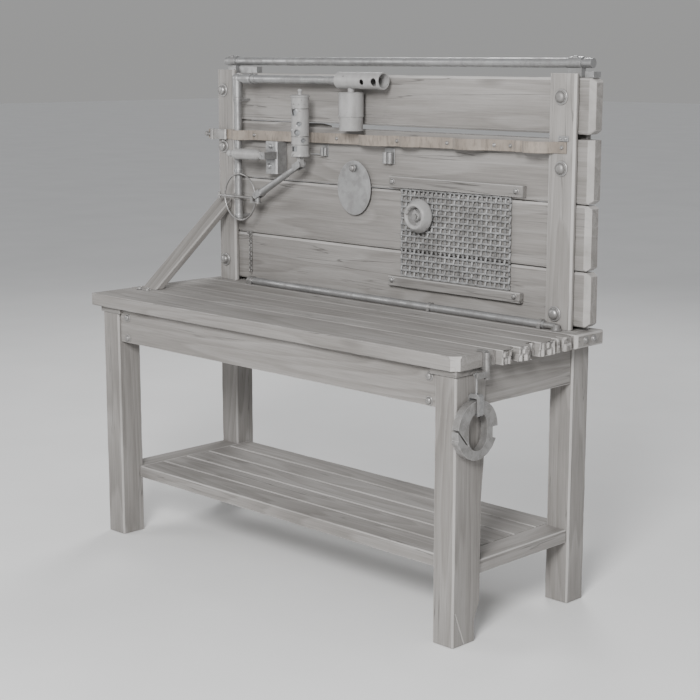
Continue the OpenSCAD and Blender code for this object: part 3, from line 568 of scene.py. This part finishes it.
def make_timber():
    """Every board but the leaning one. The third value of each is the seed of its weathering."""
    legs = ["leg_front_left", "leg_front_right", "leg_rear_left", "leg_rear_right"]
    for seed, node in enumerate(legs, 1):
        board(node, 2, seed, bevel=1.5 * MM, cut=crack_foot if node == "leg_front_right" else None)
    for seed, node in enumerate(["apron_front", "apron_rear"], 11):
        board(node, 0, seed, depth=1.0 * MM, bevel=1.2 * MM)
    for seed, node in enumerate(["apron_left", "apron_right"], 21):
        board(node, 1, seed, depth=1.0 * MM, bevel=1.2 * MM)
    board("top_board_1", 0, 31, bevel=1.0 * MM,
          rounded=((at_front, 4.5 * MM),), corners=(((1, -1, 0), 22 * MM), ((1, -1, 1), 30 * MM)))
    for number in range(2, 6):
        board(f"top_board_{number}", 0, 30 + number, depth=0.8 * MM, bevel=0.8 * MM,
              splinters=14 * MM, share=near_right_end)
    board("top_board_6", 0, 36, depth=1.2 * MM, bevel=1.2 * MM,
          corners=(((1, -1, 0), 9 * MM), ((1, 0, 1), 5 * MM), ((1, 0, -1), 5 * MM)))
    for number in range(1, 6):
        board(f"shelf_slat_{number}", 0, 40 + number, depth=1.2 * MM, bevel=1.2 * MM)
    board("shelf_ends", 1, 51, depth=1.2 * MM, bevel=1.2 * MM)
    board("upright_left", 2, 61, depth=1.2 * MM, bevel=1.2 * MM)
    board("upright_right", 2, 62, depth=1.2 * MM, bevel=1.2 * MM)
    for number in range(1, 5):
        board(f"wall_plank_{number}", 0, 70 + number, depth=1.8 * MM, bevel=1.8 * MM,
              rounded=((at_plank_end, 6 * MM),),
              corners=(((1, -1, 0), 17 * MM), ((-1, -1, 0), 17 * MM)))
    board("rear_battens", 2, 81, dark=True)
    board("mesh_battens", 0, 82, dark=True, depth=0.8 * MM, bevel=1 * MM)
    board("leg_caps", 0, 83, dark=True, depth=1.2 * MM, step=10 * MM)


def make_brace():
    """The leaning board: its grain runs along its own slope."""
    low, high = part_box("brace")
    slope = math.atan2(high.z - low.z, high.y - low.y)
    run = Vector((0, math.cos(slope), math.sin(slope)))
    turn = Matrix.Rotation(-slope, 3, "X")
    bm = clean_copy("brace")
    bevel_edges(bm, sharp_edges(bm), 1.5 * MM)
    slice_along(bm, 1, 20 * MM)
    bm.normal_update()
    mark_wear_and_highlight(bm, turn)
    weather(bm, 91, 1.4 * MM)
    look = timber("timber_along_brace", run)
    add_piece("brace_timber", bm, look, BODY_OF["brace"], ["brace"], smooth=0)


# ---------------------------------------------------------------- metalwork

def worn_metal(node, bevel, dents):
    """A metal node with its edges rounded and its faces slightly uneven."""
    fine = 60
    bm = clean_copy(node)
    # The bevel faces are marked as rubbed edges that the material lightens, partly as a painted
    # highlight.
    layer = bm.faces.layers.float.new(WEAR_AND_HIGHLIGHT)
    for face in bevel_edges(bm, sharp_edges(bm, 35), bevel, 2):
        face[layer] = 1.0
    bm.normal_update()
    shift = Vector((len(node) * 1.7, 0.3, 5.1))
    for vertex in bm.verts:
        uneven = 0.5 + 0.5 * noise.noise(vertex.co * fine + shift)
        vertex.co -= vertex.normal * dents * uneven
    look = LOOK_OF_SLOT[SLOT_OF[node]]
    add_piece(node + "_worn", bm, look, BODY_OF[node], [node], smooth=35)


def join_rings(bm, rings, closed=False):
    """Adds the faces between each ring of points and the next, and the caps of an open row."""
    following = rings[1:] + rings[:1] if closed else rings[1:]
    for here, there in zip(rings, following):
        for i in range(len(here)):
            j = (i + 1) % len(here)
            bm.faces.new((here[i], here[j], there[j], there[i]))
    if not closed:
        bm.faces.new(list(reversed(rings[0])))
        bm.faces.new(rings[-1])


def lathe(bm, profile, place, axis=2, segments=48):
    """Adds a turned shape to bm. profile lists (radius, height) from one end to the other."""
    turn = unit(2).rotation_difference(unit(axis)).to_matrix()
    rings = []
    for radius, height in profile:
        ring = []
        for i in range(segments):
            angle = TAU * i / segments
            spot = Vector((radius * math.cos(angle), radius * math.sin(angle), height))
            ring.append(bm.verts.new(turn @ spot + Vector(place)))
        rings.append(ring)
    join_rings(bm, rings)


def torus(bm, place, radius, wire, axis=2):
    """Adds a ring of round wire to bm."""
    segments, sides = 64, 12
    turn = unit(2).rotation_difference(unit(axis)).to_matrix()
    rings = []
    for i in range(segments):
        angle = TAU * i / segments
        out = Vector((math.cos(angle), math.sin(angle), 0))
        ring = []
        for k in range(sides):
            lean = TAU * k / sides
            spot = out * (radius + wire * math.cos(lean)) + Vector((0, 0, wire * math.sin(lean)))
            ring.append(bm.verts.new(turn @ spot + Vector(place)))
        rings.append(ring)
    join_rings(bm, rings, closed=True)


def dome(bm, place, radius, height):
    """Adds a domed head that stands out from place towards the front."""
    profile = [(radius, 0), (radius, 0.3 * height), (0.9 * radius, 0.6 * height),
               (0.65 * radius, 0.85 * height), (0.3 * radius, 0.98 * height)]
    lathe(bm, [(r, -h) for r, h in profile], place, axis=1, segments=20)


def tube(bm, points, radius, sides=8):
    """Adds a round wire through points to bm."""
    rings = []
    for i, point in enumerate(points):
        ahead = points[min(i + 1, len(points) - 1)] - points[max(i - 1, 0)]
        turn = ahead.to_track_quat("Z", "Y").to_matrix()
        rings.append([bm.verts.new(point + turn @ Vector((radius * math.cos(TAU * k / sides),
                                                         radius * math.sin(TAU * k / sides), 0)))
                      for k in range(sides)])
    join_rings(bm, rings)


def make_woven_mesh():
    """Wires woven over and under each other inside the CAD panel's outline."""
    low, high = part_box("mesh_panel")
    pitch = 20 * MM
    wire = 4.2 * MM
    swing = 2.2 * MM
    edge = 3.5 * MM
    middle = (low.y + high.y) / 2
    across = round((high.x - low.x - 2 * edge) / pitch)
    up = round((high.z - low.z - 2 * edge) / pitch)
    hub = centre_of("reel")
    hub_clear = 14 * MM
    bm = bmesh.new()

    def run(start, along, count, phase):
        """Lays one wire, which is cut where the reel's axle passes through the mesh."""
        stretches = [[]]
        for k in range(count * 4 + 1):
            point = start + along * (k * pitch / 4)
            point.y = middle + swing * math.cos(math.pi * (k / 4 + phase))
            if math.hypot(point.x - hub.x, point.z - hub.z) > hub_clear:
                stretches[-1].append(point)
            elif stretches[-1]:
                stretches.append([])
        for points in stretches:
            if len(points) > 1:
                tube(bm, points, wire, 6)

    for i in range(across + 1):
        run(Vector((low.x + edge + i * pitch, middle, low.z + edge)), unit(2), up, i)
    for j in range(up + 1):
        run(Vector((low.x + edge, middle, low.z + edge + j * pitch)), unit(0), across, j + 1)
    add_piece("woven_mesh", bm, WIRE, "bench", ["mesh_panel"], smooth=60)


def make_reel_trim():
    """Six screws in the reel's hollow and a bead round its front rim."""
    centre = centre_of("reel")
    low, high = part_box("reel")
    bm = bmesh.new()
    circle = 24 * MM
    screws = 6
    for i in range(screws):
        angle = TAU * i / screws
        spot = Vector((centre.x + circle * math.cos(angle), high.y - 8 * MM,
                       centre.z + circle * math.sin(angle)))
        dome(bm, spot, 4 * MM, 4 * MM)
    torus(bm, (centre.x, low.y + 3.5 * MM, centre.z), 39 * MM, 2.5 * MM, axis=1)
    add_piece("reel_trim", bm, DARK_STEEL, "spool")


def port_rim(bm, centre, out, hole, radius):
    """Adds the raised rim of a round port, hole in radius, in the wall of an upright tube."""
    wire = 1.3 * MM
    steps = 24
    side = unit(2).cross(out)
    points = []
    for i in range(steps + 1):
        angle = TAU * i / steps
        across = hole * math.cos(angle)
        depth = math.sqrt(radius ** 2 - across ** 2)
        points.append(centre + out * depth + side * across + unit(2) * (hole * math.sin(angle)))
    tube(bm, points, wire)


# The lantern's round ports: turn from the front in degrees, height and hole radius in millimetres
PORTS = ((0, 160, 13), (38, 118, 8), (-36, 96, 8), (24, 88, 10), (-70, 140, 7), (64, 60, 7))


def make_lantern_trim():
    """The lantern's bands and its row of screws, the rims of its ports, and the lens inside."""
    centre = centre_of("lantern")
    radius = 32 * MM
    foot = 1397 * MM
    screws = 10

    def at_height(height):
        return Vector((centre.x, centre.y, foot + height * MM))

    bm = bmesh.new()
    for height in (44, 74, 172):
        torus(bm, at_height(height), radius, 1.6 * MM)
    for i in range(screws):
        angle = TAU * (i + 0.5) / screws
        spot = at_height(188) + radius * Vector((math.cos(angle), math.sin(angle), 0))
        bmesh.ops.create_icosphere(bm, subdivisions=2, radius=2.4 * MM,
                                   matrix=Matrix.Translation(spot))
    add_piece("lantern_bands", bm, DARK_STEEL, "lantern_body")
    rims = bmesh.new()
    for turn, height, hole in PORTS:
        out = Matrix.Rotation(math.radians(turn), 3, "Z") @ Vector((0, -1, 0))
        port_rim(rims, at_height(height), out, (hole + 1.5) * MM, radius)
    add_piece("lantern_rims", rims, STEEL, "lantern_body")
    # The glass core's dark tone is painted shade inside the lantern.
    core = bmesh.new()
    lathe(core, [(25.5 * MM, 0), (25.5 * MM, 189 * MM)], at_height(16))
    add_piece("lantern_lens", core, LENS_WITH_PAINTED_SHADE, "lantern_body")


def make_lamp_trim():
    """Rolled rims of the shade, and a ring near each end of the lamp's head."""
    low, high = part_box("lamp_shade")
    centre = centre_of("lamp_shade")
    bm = bmesh.new()
    torus(bm, (centre.x, centre.y, low.z + 2 * MM), 41.5 * MM, 2 * MM)
    torus(bm, (centre.x, centre.y, high.z - 4 * MM), 43.5 * MM, 1.6 * MM)
    head_low, head_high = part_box("lamp_head")
    axis_z = 1670 * MM
    torus(bm, (head_low.x + 16 * MM, centre.y, axis_z), 28.6 * MM, 1.6 * MM, axis=0)
    torus(bm, (head_high.x - 3 * MM, centre.y, axis_z), 28.2 * MM, 1.8 * MM, axis=0)
    add_piece("lamp_rims", bm, ENAMEL, "head")


def keep_rest():
    """Every CAD node that no piece stands in for gets its look."""
    for node, obj in NODES.items():
        if obj.hide_render:
            continue
        look = LOOK_OF_SLOT[SLOT_OF[node]]
        for slot in obj.material_slots:
            slot.material = look


# The nodes of metal that are rounded and dented, with their edges' width in millimetres
WORN = {"frame_bolts": 0.5, "wall_bolts": 0.8, "pipe_saddles": 1.5, "pipe_fittings": 0.8,
        "strap_studs": 0.5, "tool_clips": 0.6, "mesh_knobs": 0.5, "reel": 1.2, "wall_pegs": 0.5,
        "swing_plate": 0.8, "lamp_pole": 1.0, "lamp_boom": 1.0, "lamp_head": 1.0, "lamp_shade": 0.3,
        "hoop_bracket": 1.0, "arm_link": 1.5, "lantern": 0.8, "lever_bracket": 1.8, "lever": 1.2,
        "hanger_clip": 1.2, "hanger_hook": 2.2, "shackle": 4.5}


def make_metalwork():
    """Worn metal and its trim. The shackle is cast, so it is rougher than the rest."""
    for node, width in WORN.items():
        worn_metal(node, width * MM, 0.8 * MM if node == "shackle" else 0.2 * MM)
    make_woven_mesh()
    make_reel_trim()
    make_lantern_trim()
    make_lamp_trim()


# ---------------------------------------------------------------- leather strap

def make_strap():
    """The strap in short stretches, with rounded edges and a worn surface."""
    fine = 45
    uneven_depth = 0.4 * MM
    bm = clean_copy("tool_strap")
    slice_along(bm, 0, 8 * MM)
    rim = [e for e in sharp_edges(bm, 40) if abs(e.verts[0].co.z - e.verts[1].co.z) < 2 * MM]
    bevel_edges(bm, rim, 1.3 * MM, 2)
    bm.normal_update()
    # The rims are marked as worn edges that the material lightens, partly as a painted highlight.
    layer = bm.faces.layers.float.new(WEAR_AND_HIGHLIGHT)
    for face in bm.faces:
        face[layer] = 1.0 if abs(face.normal.z) > 0.3 else 0.0
    for vertex in bm.verts:
        uneven = 0.5 + 0.5 * noise.noise(vertex.co * fine)
        vertex.co -= vertex.normal * uneven_depth * uneven
    add_piece("tool_strap_worn", bm, HIDE, "bench", ["tool_strap"], smooth=50)


make_camera()
make_lights()
make_world()
make_floor()
make_timber()
make_brace()
make_metalwork()
make_strap()
keep_rest()

bpy.context.view_layer.update()
